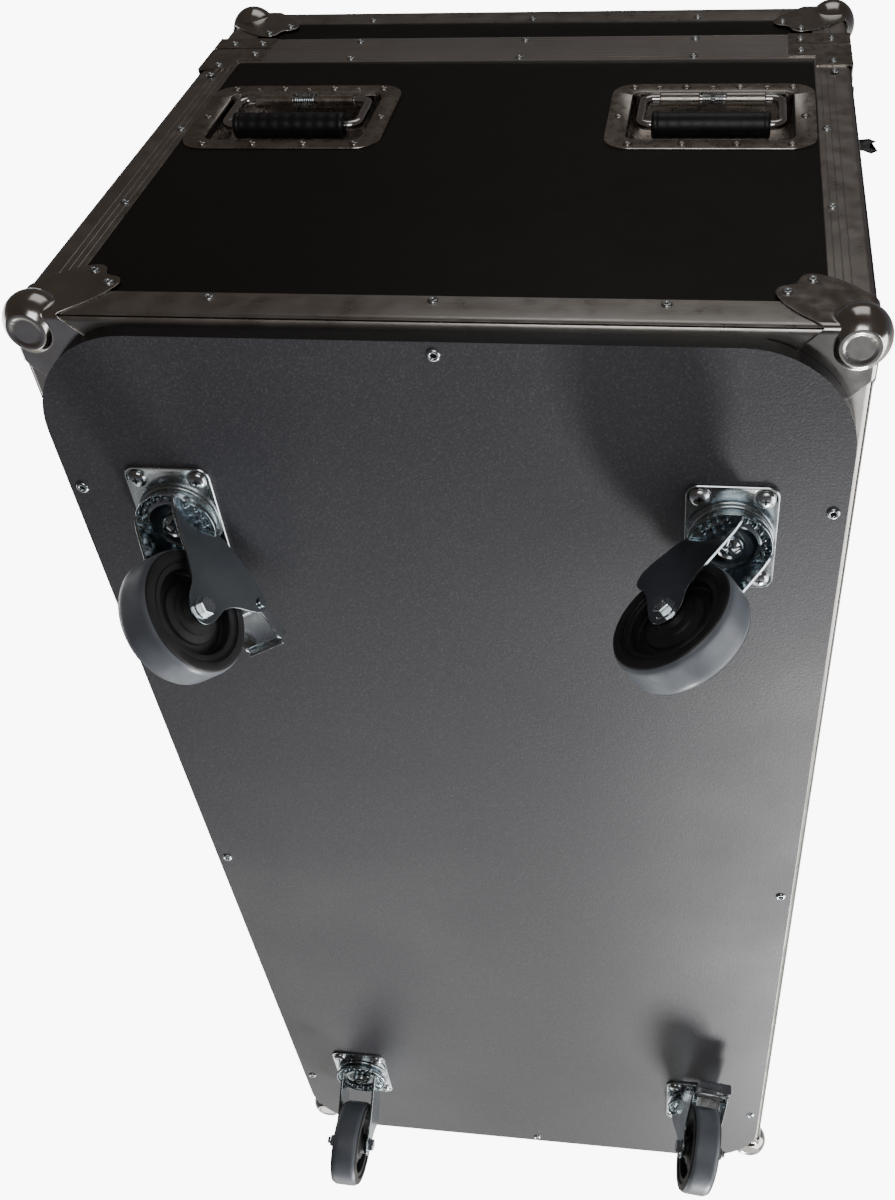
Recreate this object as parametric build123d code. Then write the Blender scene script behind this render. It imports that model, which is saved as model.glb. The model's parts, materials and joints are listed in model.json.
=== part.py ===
from build123d import *
import os
from math import atan2, degrees

os.makedirs("parts", exist_ok=True)

# Case shell, outside sizes over the edge angles
case_length = 1240.0
case_width = 600.0
body_height = 487.0
lid_height = 100.0
lid_gap = 0.4
panel_thickness = 9.0
corner_relief_clearance = 0.3

# Edge angles, their rivets and the rims that meet at the lid joint
angle_leg = 33.0
angle_thickness = 1.5
angle_corner_radius = 3.0
angle_end_gap = 33.5
rivet_radius = 4.0
rivet_height = 1.6
rivet_sides = 16
rivet_taper = 40.0
rivet_inset = 26.0
rivet_pitch = 155.0
body_rim_height = 33.0
lid_rim_height = 26.0
rim_web = 3.0
rim_inner_leg = 15.0
tongue_inset = 5.0
tongue_width = 3.0
tongue_height = 3.2
tongue_clearance = 0.6
lid_web = 5.4

# Ball corners and flat corner braces
ball_radius = 22.0
ball_inset = 12.5
ball_shell = 1.5
ball_flat = 4.5
leaf_thickness = 1.2
leaf_edge = 56.0
leaf_reach = 69.0
leaf_rivet_near = 43.0
leaf_rivet_far = 60.0
brace_drop = 50.0
brace_width = 31.0
brace_foot = 55.0
brace_foot_height = 28.0
brace_joint_gap = 1.2

# Castor board under the case
board_thickness = 15.0
board_inset = 7.0
board_corner_radius = 82.0
board_leaf_pocket = 1.6
board_rivet_radius = 5.0
board_rivet_edge = 17.0

# Castors
castor_height = 128.0
wheel_diameter = 100.0
wheel_width = 32.0
tyre_depth = 9.0
hub_clearance = 0.06
hub_side_gap = 0.6
castor_trail = 38.0
castor_plate_length = 95.0
castor_plate_width = 67.0
castor_plate_thickness = 2.5
castor_bolt_spacing_x = 75.0
castor_bolt_spacing_y = 47.0
castor_bolt_radius = 4.0
castor_bolt_head = 7.5
castor_from_end = 165.0
castor_from_side = 89.0
race_radius = 26.0
race_depth = 4.5
fork_crown_radius = 31.0
fork_crown_gap = 0.5
fork_inside = 38.0
fork_sheet = 2.5
kingpin_radius = 6.0
kingpin_clearance = 0.08
kingpin_head_radius = 10.0
kingpin_head_height = 4.0
axle_radius = 4.0
axle_head_height = 5.5
axle_hex = 13.0
pedal_pin_radius = 2.5
pedal_pin_clearance = 0.06
pedal_side_gap = 0.6
pedal_pivot_back = 44.0
pedal_pivot_up = 48.0
pedal_length = 33.0
pedal_lip = 11.0
pedal_travel = 20.0
pedal_shoe_gap = 0.8

# Recessed sprung handles, two at each end
handle_flange_width = 173.0
handle_flange_height = 127.0
handle_cup_width = 136.0
handle_cup_height = 92.0
handle_depth = 25.0
handle_sheet = 1.2
handle_spacing = 360.0
handle_height = 333.0
bail_radius = 4.0
bail_clearance = 0.08
bail_width = 118.0
bail_drop = 53.0
bail_rise = 38.0
bail_sink = 2.0
barrel_radius = 6.0
barrel_length = 34.0
spring_length = 22.0
spring_clearance = 0.5
grip_radius = 11.0
grip_length = 98.0

# Turn latches on the front and stop hinges on the rear
latch_spacing = 660.0
latch_width = 112.0
latch_height = 84.0
latch_depth = 16.0
latch_cup_margin = 10.0
latch_throw = 77.0
keeper_radius = 3.5
keeper_rise = 10.0
keeper_clearance = 0.5
spindle_radius = 5.0
spindle_clearance = 0.06
latch_hub_radius = 12.0
cam_sheet = 2.0
cam_lift = 0.9
wing_pin_radius = 1.5
wing_clearance = 0.06
hinge_spacing = 420.0
hinge_length = 60.0
hinge_sheet = 2.0
hinge_axis_out = 1.2
knuckle_radius = 3.2
hinge_pin_radius = 1.6
hinge_pin_clearance = 0.05
knuckle_gap = 0.3

# Foam lining
foam_thickness = 22.0
foam_dish_clearance = 2.0

# Levels and faces that follow from the sizes above
case_bottom = castor_height + board_thickness
joint_z = case_bottom + body_height
lid_top = joint_z + lid_height
half_x = case_length / 2
half_y = case_width / 2
panel_x = half_x - angle_thickness
panel_y = half_y - angle_thickness
inner_x = panel_x - panel_thickness
inner_y = panel_y - panel_thickness
spindle_z = joint_z + keeper_rise - latch_throw


def span(x0, x1, y0, y1, z0, z1):
    size = Box(x1 - x0, y1 - y0, z1 - z0)
    return Pos((x0 + x1) / 2, (y0 + y1) / 2, (z0 + z1) / 2) * size


def group(solids):
    out = []
    for item in solids:
        out.extend(item.solids())
    return Compound(children=out)


def save(name, solids):
    export_step(group(solids), "parts/" + name + ".step")


def rod(start, end, radius):
    a = Vector(*start)
    b = Vector(*end)
    place = Plane(origin=(a + b) * 0.5, z_dir=b - a).location
    return place * Cylinder(radius, (b - a).length)


def place_corner(shape, corner, inward):
    sx, sy, sz = inward
    if sx * sy * sz > 0:
        plane = Plane(origin=corner, x_dir=(sx, 0, 0), z_dir=(0, 0, sz))
    else:
        plane = Plane(origin=corner, x_dir=(0, sy, 0), z_dir=(0, 0, sz))
    return plane.location * shape


def corners(z, inward_z):
    for sx in (-1, 1):
        for sy in (-1, 1):
            yield (sx * half_x, sy * half_y, z), (-sx, -sy, inward_z)


# Ball corner: three leaves over the faces and a round ball with flats.
def ball_corner():
    leaf = [
        (-leaf_thickness, -leaf_thickness), (leaf_edge, -leaf_thickness), (leaf_reach, leaf_edge * 0.68),
        (leaf_reach * 0.96, leaf_edge * 0.88), (leaf_edge * 0.88, leaf_reach * 0.96),
        (leaf_edge * 0.68, leaf_reach), (-leaf_thickness, leaf_edge),
    ]
    face = extrude(make_face(Polyline(leaf, close=True)), -leaf_thickness)
    leaves = face + Plane.XZ.location * extrude(make_face(Polyline(leaf, close=True)), leaf_thickness)
    leaves += Plane.YZ.location * extrude(make_face(Polyline(leaf, close=True)), -leaf_thickness)
    centre = Pos(ball_inset, ball_inset, ball_inset)
    out = ball_inset - ball_radius - 1
    octant = span(out, ball_inset, out, ball_inset, out, ball_inset)
    leaves -= octant - centre * Sphere(ball_radius - 0.05)
    shell = centre * Sphere(ball_radius) - centre * Sphere(ball_radius - ball_shell)
    far = ball_inset + ball_radius + 1
    inside = span(0, far, 0, far, 0, far) - octant
    shell -= inside
    keep = span(out, far, out, far, -ball_flat, far)
    return (leaves + shell) & keep


# The piece cut off a panel corner so that it sits inside the ball.
def corner_cutter():
    octant = span(-1, ball_inset, -1, ball_inset, -1, ball_inset)
    room = ball_radius - ball_shell - corner_relief_clearance
    return octant - Pos(ball_inset, ball_inset, ball_inset) * Sphere(room)


def trim_corners(panel, z, inward_z):
    cutter = corner_cutter()
    for corner, inward in corners(z, inward_z):
        panel -= place_corner(cutter, corner, inward)
    return panel


# Edge angle along local X, its outer corner on the origin, legs towards +Y and +Z.
def edge_angle(length):
    outer = span(-length / 2, length / 2, 0, angle_leg, 0, angle_leg)
    inner = span(-length, length, angle_thickness, angle_leg * 2, angle_thickness, angle_leg * 2)
    edges = outer.edges().filter_by(Axis.X).sort_by(lambda e: e.center().Y + e.center().Z)
    return fillet(edges[0], angle_corner_radius) - inner


def place_angle(length, centre, first, second):
    a = Vector(*first)
    b = Vector(*second)
    return Plane(origin=centre, x_dir=a.cross(b), z_dir=b).location * edge_angle(length)


def flat_angles(z, inward_z):
    parts = []
    for s in (-1, 1):
        along_x = case_length - 2 * angle_end_gap
        along_y = case_width - 2 * angle_end_gap
        parts.append(place_angle(along_x, (0, s * half_y, z), (0, -s, 0), (0, 0, inward_z)))
        parts.append(place_angle(along_y, (s * half_x, 0, z), (-s, 0, 0), (0, 0, inward_z)))
    return parts


def upright_angles(z0, z1):
    parts = []
    for sx in (-1, 1):
        for sy in (-1, 1):
            centre = (sx * half_x, sy * half_y, (z0 + z1) / 2)
            parts.append(place_angle(z1 - z0, centre, (-sx, 0, 0), (0, -sy, 0)))
    return parts


# Rim extrusion: four mitred lengths of one profile, given as boxes of (inset, height).
def rim(boxes, cuts, level):
    parts = []
    for along, half_a, half_b in (("x", half_x, half_y), ("y", half_y, half_x)):
        for s in (-1, 1):
            bar = None
            for d0, d1, h0, h1 in boxes:
                piece = span(-half_a, half_a, half_b - d1, half_b - d0, level + h0, level + h1)
                bar = piece if bar is None else bar + piece
            for d0, d1, h0, h1 in cuts:
                bar -= span(-half_a, half_a, half_b - d1, half_b - d0, level + h0, level + h1)
            reach = 60.0
            plan = [(-half_a, half_b), (half_a, half_b), (half_a - reach, half_b - reach)]
            plan.append((-half_a + reach, half_b - reach))
            mitre = extrude(make_face(Polyline(plan, close=True)), 200)
            bar = bar & (Pos(0, 0, level - 100) * mitre)
            turn = 0 if along == "x" else 90
            parts.append(Rot(0, 0, turn + (0 if s > 0 else 180)) * bar)
    return parts


def hinge_relief():
    parts = []
    for i in (-1, 0, 1):
        x = i * hinge_spacing
        reach = hinge_length / 2 + knuckle_gap
        start = (x - reach, half_y + hinge_axis_out, joint_z)
        parts.append(rod(start, (x + reach, start[1], joint_z), knuckle_radius + knuckle_gap))
    return parts


def body_rim_extrusion():
    depth = panel_thickness + 2 * angle_thickness
    boxes = [(0, angle_thickness, -body_rim_height, 0), (0, depth, -rim_web, 0)]
    boxes.append((depth - angle_thickness, depth, -rim_inner_leg, 0))
    boxes.append((tongue_inset, tongue_inset + tongue_width, -rim_web, tongue_height))
    parts = rim(boxes, [], joint_z)
    for cutter in hinge_relief():
        parts[1] -= cutter
    return parts


def lid_rim_extrusion():
    depth = panel_thickness + 2 * angle_thickness
    boxes = [(0, angle_thickness, lid_gap, lid_rim_height), (0, depth, lid_gap, lid_gap + lid_web)]
    boxes.append((depth - angle_thickness, depth, lid_gap, rim_inner_leg))
    groove = [(tongue_inset - tongue_clearance, tongue_inset + tongue_width + tongue_clearance,
               0, tongue_height + tongue_clearance)]
    parts = rim(boxes, groove, joint_z)
    for cutter in hinge_relief():
        parts[1] -= cutter
    return parts


# Panels
def end_panel(s):
    z0 = case_bottom + angle_thickness + panel_thickness
    z1 = joint_z - rim_web
    panel = span(min(s * panel_x, s * inner_x), max(s * panel_x, s * inner_x), -inner_y, inner_y, z0, z1)
    for side in (-1, 1):
        hole = Box(60, handle_cup_width, handle_cup_height)
        panel -= Pos(s * half_x, side * handle_spacing / 2, case_bottom + handle_height) * hole
    return trim_corners(panel, case_bottom, 1)


def long_panel(s):
    z0 = case_bottom + angle_thickness + panel_thickness
    z1 = joint_z - rim_web
    panel = span(-panel_x, panel_x, min(s * panel_y, s * inner_y), max(s * panel_y, s * inner_y), z0, z1)
    if s < 0:
        for side in (-1, 1):
            x = side * latch_spacing / 2
            cup_w = latch_width / 2 - latch_cup_margin
            cup_h = latch_height / 2 - latch_cup_margin
            z = latch_centre_z()
            panel -= span(x - cup_w, x + cup_w, -half_y - 1, -inner_y + 1, z - cup_h, z + cup_h)
    return trim_corners(panel, case_bottom, 1)


def base_panel():
    z0 = case_bottom + angle_thickness
    panel = span(-panel_x, panel_x, -panel_y, panel_y, z0, z0 + panel_thickness)
    return trim_corners(panel, case_bottom, 1)


def lid_top_panel():
    z1 = lid_top - angle_thickness
    panel = span(-panel_x, panel_x, -panel_y, panel_y, z1 - panel_thickness, z1)
    return trim_corners(panel, lid_top, -1)


def lid_side_panels():
    z0 = joint_z + lid_gap + lid_web
    z1 = lid_top - angle_thickness - panel_thickness
    parts = []
    for s in (-1, 1):
        y0, y1 = sorted((s * panel_y, s * inner_y))
        x0, x1 = sorted((s * panel_x, s * inner_x))
        parts.append(trim_corners(span(-panel_x, panel_x, y0, y1, z0, z1), lid_top, -1))
        parts.append(trim_corners(span(x0, x1, -inner_y, inner_y, z0, z1), lid_top, -1))
    return parts


def ball_corners(z, inward_z):
    one = ball_corner()
    return [place_corner(one, corner, inward) for corner, inward in corners(z, inward_z)]


# Flat brace folded around the upright corner, next to the lid joint.
def corner_braces(z0, z1, foot0, foot1):
    parts = []
    for sx in (-1, 1):
        for sy in (-1, 1):
            brace = None
            for width, a, b in ((brace_width, z0, z1), (brace_foot, foot0, foot1)):
                x0, x1 = sorted((sx * (half_x - width), sx * (half_x + leaf_thickness)))
                y0, y1 = sorted((sy * (half_y - width), sy * (half_y + leaf_thickness)))
                piece = span(x0, x1, y0, y1, a, b)
                brace = piece if brace is None else brace + piece
            brace -= Box(case_length, case_width, 4 * lid_top)
            parts.append(brace)
    return parts


# Rivet head: a sixteen sided frustum standing on the face.
def rivet_head(radius, height):
    return extrude(RegularPolygon(radius, rivet_sides), amount=height, taper=rivet_taper)


def spaced(length, margin):
    count = max(2, round((length - 2 * margin) / rivet_pitch) + 1)
    step = (length - 2 * margin) / (count - 1)
    return [margin - length / 2 + i * step for i in range(count)]


def face_rivets(normal_axis, sign, a, level, lift=0.0):
    if normal_axis == "x":
        plane = Plane(origin=(sign * (half_x + lift), a, level), z_dir=(sign, 0, 0))
    else:
        plane = Plane(origin=(a, sign * (half_y + lift), level), z_dir=(0, sign, 0))
    return plane.location * rivet_head(rivet_radius, rivet_height)


def shell_rivets(edge_z, edge_dir, rise_levels, rim_level, brace_levels):
    parts = []
    level = edge_z + edge_dir * rivet_inset
    for sign in (-1, 1):
        for y in spaced(case_width, 140):
            parts.append(face_rivets("x", sign, y, level))
            parts.append(face_rivets("x", sign, y, rim_level))
            flat = Plane(origin=(sign * (half_x - rivet_inset), y, edge_z), z_dir=(0, 0, -edge_dir))
            if edge_dir < 0:
                parts.append(flat.location * rivet_head(rivet_radius, rivet_height))
        for x in spaced(case_length, 155):
            parts.append(face_rivets("y", sign, x, level))
            clear = min(abs(x - i * hinge_spacing) for i in (-1, 0, 1)) > hinge_length
            if sign > 0 and clear:
                parts.append(face_rivets("y", sign, x, rim_level))
            if sign < 0 and abs(abs(x) - latch_spacing / 2) > latch_throw + 25:
                parts.append(face_rivets("y", sign, x, rim_level))
            flat = Plane(origin=(x, sign * (half_y - rivet_inset), edge_z), z_dir=(0, 0, -edge_dir))
            if edge_dir < 0:
                parts.append(flat.location * rivet_head(rivet_radius, rivet_height))
        for side in (-1, 1):
            for rise in rise_levels:
                parts.append(face_rivets("x", sign, side * (half_y - rivet_inset), rise))
                parts.append(face_rivets("y", sign, side * (half_x - rivet_inset), rise))
            for a, b in ((leaf_rivet_near, leaf_rivet_far), (leaf_rivet_far, leaf_rivet_near)):
                z = edge_z + edge_dir * b
                parts.append(face_rivets("x", sign, side * (half_y - a), z, leaf_thickness))
                parts.append(face_rivets("y", sign, side * (half_x - a), z, leaf_thickness))
                if edge_dir < 0:
                    spot = (sign * (half_x - a), side * (half_y - b), edge_z + leaf_thickness)
                    parts.append(Pos(*spot) * rivet_head(rivet_radius, rivet_height))
            for inset, z in brace_levels:
                parts.append(face_rivets("x", sign, side * (half_y - inset), z, leaf_thickness))
                parts.append(face_rivets("y", sign, side * (half_x - inset), z, leaf_thickness))
    return parts


# Castor board: inset under the case, corners rounded, pocketed over the ball corner leaves.
def castor_board():
    size_x = case_length - 2 * board_inset
    size_y = case_width - 2 * board_inset
    plate = extrude(RectangleRounded(size_x, size_y, board_corner_radius), board_thickness)
    plate = Pos(0, 0, castor_height) * plate
    for sx in (-1, 1):
        for sy in (-1, 1):
            pocket = leaf_reach + rivet_radius
            x0, x1 = sorted((sx * (half_x - pocket), sx * half_x))
            y0, y1 = sorted((sy * (half_y - pocket), sy * half_y))
            plate -= span(x0, x1, y0, y1, case_bottom - board_leaf_pocket, case_bottom + 1)
    return plate


def board_rivet_points():
    side = half_y - board_rivet_edge
    end = half_x - board_rivet_edge
    points = [(end * s, 6.0) for s in (-1, 1)]
    for x in (half_x - 140, 0, 140 - half_x):
        points += [(x, side), (x, -side)]
    return points


def board_rivets():
    head = rivet_head(board_rivet_radius, rivet_height)
    head -= Cylinder(1.8, 20)
    return [Pos(x, y, castor_height) * Rot(180, 0, 0) * head for x, y in board_rivet_points()]


# Castors. Each is built about its kingpin, trailing along local +X, z = 0 on the board.
def castor_sites():
    x = half_x - castor_from_end
    y = half_y - castor_from_side
    return {
        "right_front": ((x, -y), 149.8, 1),
        "right_rear": ((x, y), 236.8, 0),
        "left_front": ((-x, -y), 183.6, 0),
        "left_rear": ((-x, y), 12.0, 1),
    }


def castor_plate():
    plate = Box(castor_plate_length, castor_plate_width, castor_plate_thickness)
    plate = fillet(plate.edges().filter_by(Axis.Z), 9)
    plate = Pos(0, 0, -castor_plate_thickness / 2) * plate
    for sx in (-1, 1):
        for sy in (-1, 1):
            spot = Pos(sx * castor_bolt_spacing_x / 2, sy * castor_bolt_spacing_y / 2, 0)
            plate -= spot * Cylinder(castor_bolt_radius + 0.3, 20)
    race_z = -castor_plate_thickness - race_depth
    crown_z = race_z - fork_crown_gap - fork_sheet
    head_z = crown_z - fork_crown_gap
    plate += Pos(0, 0, race_z / 2) * Cylinder(race_radius, -race_z)
    plate += Pos(0, 0, head_z / 2) * Cylinder(kingpin_radius, -head_z)
    plate += Pos(0, 0, head_z - kingpin_head_height / 2) * Cylinder(kingpin_head_radius, kingpin_head_height)
    return plate


def castor_bolts():
    parts = []
    head = Pos(0, 0, -castor_plate_thickness - 1.5) * Cylinder(castor_bolt_head, 3)
    head += Pos(0, 0, -castor_plate_thickness / 2) * Cylinder(castor_bolt_radius, castor_plate_thickness)
    for (x, y), angle, brake in castor_sites().values():
        for sx in (-1, 1):
            for sy in (-1, 1):
                bx = x + sx * castor_bolt_spacing_x / 2
                by = y + sy * castor_bolt_spacing_y / 2
                parts.append(Pos(bx, by, castor_height) * head)
    return parts


def axle_drop():
    return castor_height - wheel_diameter / 2


def leg_outline(brake):
    z = -axle_drop()
    x = castor_trail
    crown = -castor_plate_thickness - race_depth - fork_crown_gap
    rear = x + 6
    front = [(-20, crown), (-24, crown - 10), (x - 17, z + 18), (x - 13, z - 6), (x - 4, z - 13)]
    back = [(x + 7, z - 12), (x + 14, z - 2), (x + 17, z + 26), (rear + 21, z + 46), (26, crown)]
    if brake:
        back = [(x + 7, z - 12), (x + 14, z - 2), (x + 17, z + 20), (x + 50, z + 40), (x + 50, z + 54),
                (x + 20, z + 66), (26, crown)]
    return front + back


def pedal_pivot():
    return castor_trail + pedal_pivot_back, -axle_drop() + pedal_pivot_up


def castor_fork(brake):
    top = -castor_plate_thickness - race_depth - fork_crown_gap
    outside = fork_inside / 2 + fork_sheet
    crown = Pos(0, 0, top - fork_sheet / 2) * Cylinder(fork_crown_radius, fork_sheet)
    legs = None
    for s in (-1, 1):
        face = make_face(Polyline(leg_outline(brake), close=True))
        leg = Plane.XZ.location * extrude(face, fork_sheet)
        shift = fork_sheet - outside if s < 0 else outside
        leg = Pos(0, shift, 0) * leg
        legs = leg if legs is None else legs + leg
    trim = Pos(0, 0, top - fork_sheet / 2) * Box(200, 2 * outside, fork_sheet)
    fork = crown + legs + (trim & Pos(0, 0, top - fork_sheet / 2) * Cylinder(fork_crown_radius, fork_sheet))
    fork -= Cylinder(kingpin_radius + kingpin_clearance, 60)
    fork -= rod((castor_trail, -60, -axle_drop()), (castor_trail, 60, -axle_drop()), axle_radius + 0.02)
    if brake:
        px, pz = pedal_pivot()
        fork += rod((px, -outside - 0.5, pz), (px, outside + 0.5, pz), pedal_pin_radius)
    return fork


def castor_axle():
    outside = fork_inside / 2 + fork_sheet
    z = -axle_drop()
    hexagon = extrude(RegularPolygon(axle_hex / 2, 6, major_radius=False), axle_head_height)
    head = Pos(castor_trail, -outside, z) * Rot(90, 0, 0) * hexagon
    nut = Pos(castor_trail, outside + axle_head_height, z) * Rot(90, 0, 0) * hexagon
    shaft = rod((castor_trail, -outside, z), (castor_trail, outside + axle_head_height + 3, z), axle_radius)
    return head + nut + shaft


def wheel_core():
    r = wheel_diameter / 2 - tyre_depth
    width = wheel_width - 4
    core = Cylinder(r, width) - Cylinder(axle_radius + hub_clearance, 80)
    hub = Cylinder(12, fork_inside - 2 * hub_side_gap) - Cylinder(axle_radius + hub_clearance, 80)
    for s in (-1, 1):
        recess = Cylinder(r - 8, 8) - Cylinder(14, 8)
        core -= Pos(0, 0, s * width / 2) * recess
    core = core + hub
    return Pos(castor_trail, 0, -axle_drop()) * Rot(90, 0, 0) * core


def tyre():
    r = wheel_diameter / 2
    ring = Cylinder(r, wheel_width)
    ring = fillet(ring.edges().filter_by(GeomType.CIRCLE), 4)
    ring -= Cylinder(r - tyre_depth, 80)
    return Pos(castor_trail, 0, -axle_drop()) * Rot(90, 0, 0) * ring


# Brake pedal: a channel on a pin between the fork legs. Its shoe turns in to the tread when pressed.
def brake_pedal():
    px, pz = pedal_pivot()
    wide = fork_inside / 2 - pedal_side_gap
    hole = pedal_pin_radius + pedal_pin_clearance
    eye = rod((0, -wide, 0), (0, wide, 0), hole + 2)
    tread = span(3, pedal_length, -wide, wide, -1, 1)
    lip = span(pedal_length - 2, pedal_length, -wide, wide, -pedal_lip, 1)
    pad = tread + lip
    gap = Vector(castor_trail - px, 0, -axle_drop() - pz)
    shoe_length = gap.length - wheel_diameter / 2 - pedal_shoe_gap
    aim = degrees(atan2(-gap.Z, gap.X)) - pedal_travel
    shoe = Rot(0, aim, 0) * span(0, shoe_length, -wheel_width / 2, wheel_width / 2, -1.2, 1.2)
    pedal = eye + pad + shoe - rod((0, -60, 0), (0, 60, 0), hole)
    return Pos(px, 0, pz) * pedal


# Recessed handle, built on the right end at y = 0, z = 0 on the handle centre.
def handle_dish():
    flange_x = panel_x + handle_sheet
    flange = Box(handle_sheet, handle_flange_width, handle_flange_height)
    flange = fillet(flange.edges().filter_by(Axis.X), 10)
    dish = Pos(panel_x + handle_sheet / 2, 0, 0) * flange
    w = handle_cup_width / 2
    h = handle_cup_height / 2
    dish += span(flange_x - handle_depth, panel_x + handle_sheet / 2, -w, w, -h, h)
    t = handle_sheet
    dish -= span(flange_x - handle_depth + t, flange_x + 1, t - w, w - t, t - h, h - t)
    axis_x, axis_z = bail_axis()
    inner = spring_length / 2
    for s in (-1, 1):
        y0, y1 = sorted((s * inner, s * (inner + barrel_length)))
        tab_x = flange_x - handle_depth + t / 2
        barrel = rod((axis_x, y0, axis_z), (axis_x, y1, axis_z), barrel_radius)
        barrel += span(tab_x, axis_x, y0, y1, axis_z + barrel_radius - 2.5, axis_z + barrel_radius)
        dish += barrel - rod((axis_x, y0, axis_z), (axis_x, y1, axis_z), bail_radius + bail_clearance)
    return dish


def bail_axis():
    return panel_x + handle_sheet - bail_sink, bail_rise


def handle_bail():
    x, z = bail_axis()
    low = z - bail_drop
    half = bail_width / 2
    bail = None
    for s in (-1, 1):
        leg = rod((x, s * half, low), (x, s * half, z), bail_radius)
        leg += rod((x, s * half, z), (x, s * 1.5, z), bail_radius)
        leg += Pos(x, s * half, z) * Sphere(bail_radius)
        leg += Pos(x, s * half, low) * Sphere(bail_radius)
        bail = leg if bail is None else bail + leg
    return bail + rod((x, -half, low), (x, half, low), bail_radius)


def handle_grip():
    x, z = bail_axis()
    low = z - bail_drop
    grip = rod((x, -grip_length / 2, low), (x, grip_length / 2, low), grip_radius)
    return grip - rod((x, -grip_length, low), (x, grip_length, low), bail_radius)


def handle_spring():
    x, z = bail_axis()
    half = spring_length / 2 - spring_clearance
    inner = bail_radius + spring_clearance
    return rod((x, -half, z), (x, half, z), inner + 1.6) - rod((x, -half, z), (x, half, z), inner)


def handle_places(end):
    for name, side in (("front", -1), ("rear", 1)):
        turn = Rot(0, 0, 0) if end > 0 else Rot(0, 0, 180)
        yield name, Pos(0, side * handle_spacing / 2, case_bottom + handle_height) * turn


# Turn latches on the front face
def latch_centre_z():
    return joint_z - body_rim_height - 2 - latch_height / 2


def latch_dish(x):
    z = latch_centre_z()
    face = -panel_y
    w = latch_width / 2
    h = latch_height / 2
    t = handle_sheet
    back = face - t + latch_depth
    cup_w = w - latch_cup_margin
    cup_h = h - latch_cup_margin
    dish = span(x - w, x + w, face - t, face, z - h, z + h)
    dish += span(x - cup_w, x + cup_w, face - t, back, z - cup_h, z + cup_h)
    dish -= span(x - cup_w + t, x + cup_w - t, face - t - 1, back - t, z - cup_h + t, z + cup_h - t)
    dish += rod((x, back - t, spindle_z), (x, -half_y + 3, spindle_z), spindle_radius + 4)
    hole = rod((x, back + 1, spindle_z), (x, -half_y - 9, spindle_z), spindle_radius + spindle_clearance)
    return dish - hole


def latch_cam(x):
    out = -half_y - cam_lift
    local = Cylinder(latch_hub_radius, cam_sheet)
    slot_in = latch_throw - keeper_radius - keeper_clearance
    slot_out = latch_throw + keeper_radius + keeper_clearance
    local += span(0, slot_in - 4, -8, 8, -cam_sheet / 2, cam_sheet / 2)
    head = Cylinder(slot_out + 7, cam_sheet) - Cylinder(slot_in - 9, cam_sheet)
    wedge = make_face(Polyline([(0, 0), (200, -44), (200, 44)], close=True))
    local += head & (Pos(0, 0, -9) * extrude(wedge, 18))
    slot = Cylinder(slot_out, cam_sheet) - Cylinder(slot_in, cam_sheet)
    gate = make_face(Polyline([(0, 0), (200, -10), (200, 60)], close=True))
    local -= slot & (Pos(0, 0, -9) * extrude(gate, 18))
    pin_x = -latch_hub_radius - 6
    local += span(pin_x, 0, -4, 4, -cam_sheet / 2, cam_sheet / 2)
    local += rod((pin_x, -15, 0), (pin_x, 15, 0), wing_pin_radius)
    place = Plane(origin=(x, out - cam_sheet / 2, spindle_z), x_dir=(1, 0, 0), z_dir=(0, -1, 0))
    cam = place.location * local
    inner_end = -half_y + latch_depth - 2
    return cam + rod((x, out - cam_sheet / 2, spindle_z), (x, inner_end, spindle_z), spindle_radius)


def latch_wing(x):
    out = -half_y - cam_lift - cam_sheet / 2
    pin_x = x - latch_hub_radius - 6
    wing = None
    for s in (-1, 1):
        z0 = spindle_z + s * 4.4
        z1 = spindle_z + s * 14.6
        barrel = rod((pin_x, out, z0), (pin_x, out, z1), wing_pin_radius + 1)
        a, b = sorted((z0, z1))
        barrel += span(pin_x - 8, pin_x, out - 0.8, out + 0.8, a, b)
        wing = barrel if wing is None else wing + barrel
    wing += span(pin_x - 27, pin_x - 6, out - 0.8, out + 0.8, spindle_z - 20, spindle_z + 20)
    cut = rod((pin_x, out, spindle_z - 30), (pin_x, out, spindle_z + 30), wing_pin_radius + wing_clearance)
    return wing - cut


def latch_keeper(x):
    z = joint_z + keeper_rise
    stud = rod((x, -half_y, z), (x, -half_y - 3.4, z), keeper_radius)
    return stud + rod((x, -half_y - 3.4, z), (x, -half_y - 4.4, z), keeper_radius + 2)


# Stop hinges on the rear face
def hinge_knuckles(x, own, side):
    y = half_y + hinge_axis_out
    step = hinge_length / 5
    out = None
    for i in own:
        x0 = x - hinge_length / 2 + i * step + knuckle_gap / 2
        x1 = x0 + step - knuckle_gap
        piece = rod((x0, y, joint_z), (x1, y, joint_z), knuckle_radius)
        z0, z1 = sorted((joint_z + side * 1.0, joint_z + side * 6))
        piece += span(x0, x1, half_y, half_y + hinge_sheet, z0, z1)
        out = piece if out is None else out + piece
    z0, z1 = sorted((joint_z + side * 4.2, joint_z + side * 25))
    out += span(x - hinge_length / 2, x + hinge_length / 2, half_y, half_y + hinge_sheet, z0, z1)
    bore_radius = hinge_pin_radius + hinge_pin_clearance
    bore = rod((x - hinge_length, y, joint_z), (x + hinge_length, y, joint_z), bore_radius)
    return out - bore


def hinge_pin(x):
    y = half_y + hinge_axis_out
    return rod((x - hinge_length / 2, y, joint_z), (x + hinge_length / 2, y, joint_z), hinge_pin_radius)


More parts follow.
